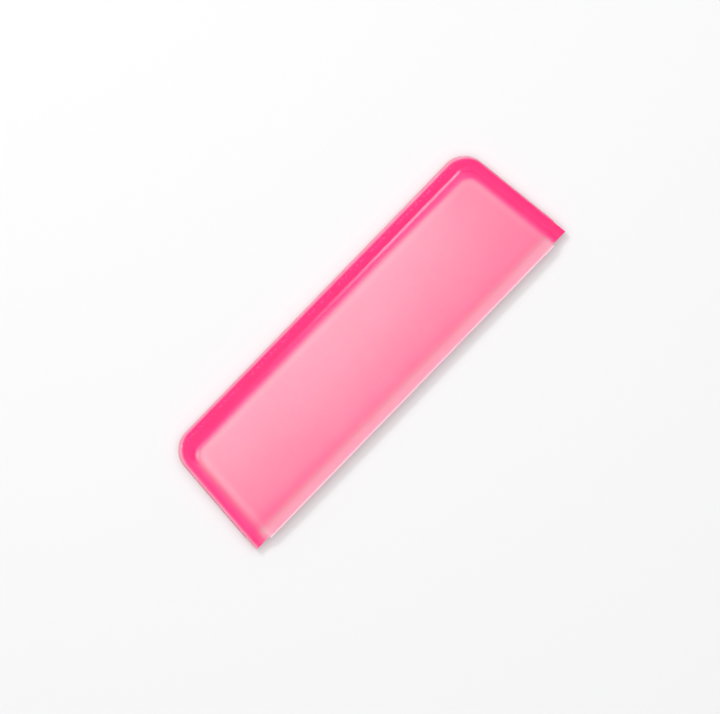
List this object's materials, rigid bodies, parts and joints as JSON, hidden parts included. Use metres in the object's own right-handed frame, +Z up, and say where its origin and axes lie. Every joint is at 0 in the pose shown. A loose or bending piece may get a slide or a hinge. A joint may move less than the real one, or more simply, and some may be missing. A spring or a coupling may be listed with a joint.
{
  "type": "reusable silicone bag",
  "caption": "Long, shallow lay-flat silicone bag with a solid seam border on three sides and a press-zip mouth that bows open.",
  "frame": {"origin": "centre of the bag's footprint, on the table it lies on", "axes": "+X along the mouth, -Y towards the mouth, +Y towards the closed side, +Z up through the thickness"},
  "size_m": [0.19, 0.058, 0.008],
  "materials": {
    "rim_silicone": "glossy translucent pink silicone, deep in colour because it is solid right through",
    "panel_silicone": "frosted translucent pink silicone sheet",
    "zip_silicone": "satin translucent pink silicone profile"
  },
  "bodies": {
    "root": {"left_side_seam": "rim_silicone", "right_side_seam": "rim_silicone", "bottom_seam": "rim_silicone", "back_panel": "panel_silicone", "back_lip": "panel_silicone", "zip_ridge_outer": "zip_silicone", "zip_ridge_middle": "zip_silicone", "zip_ridge_inner": "zip_silicone", "zip_end_weld_left": "zip_silicone", "zip_end_weld_right": "zip_silicone"},
    "front_wall": {"front_panel": "panel_silicone", "front_lip": "panel_silicone", "zip_rib_outer": "zip_silicone", "zip_rib_inner": "zip_silicone"}
  },
  "joints": [
    {"name": "mouth_open", "type": "hinge", "parent": "root", "child": "front_wall", "pos_m": [0, 0.0183, 0.00725], "axis": [-1, 0, 0], "range_deg": [0, 24], "stiffness_Nm_per_rad": 0.01}
  ]
}
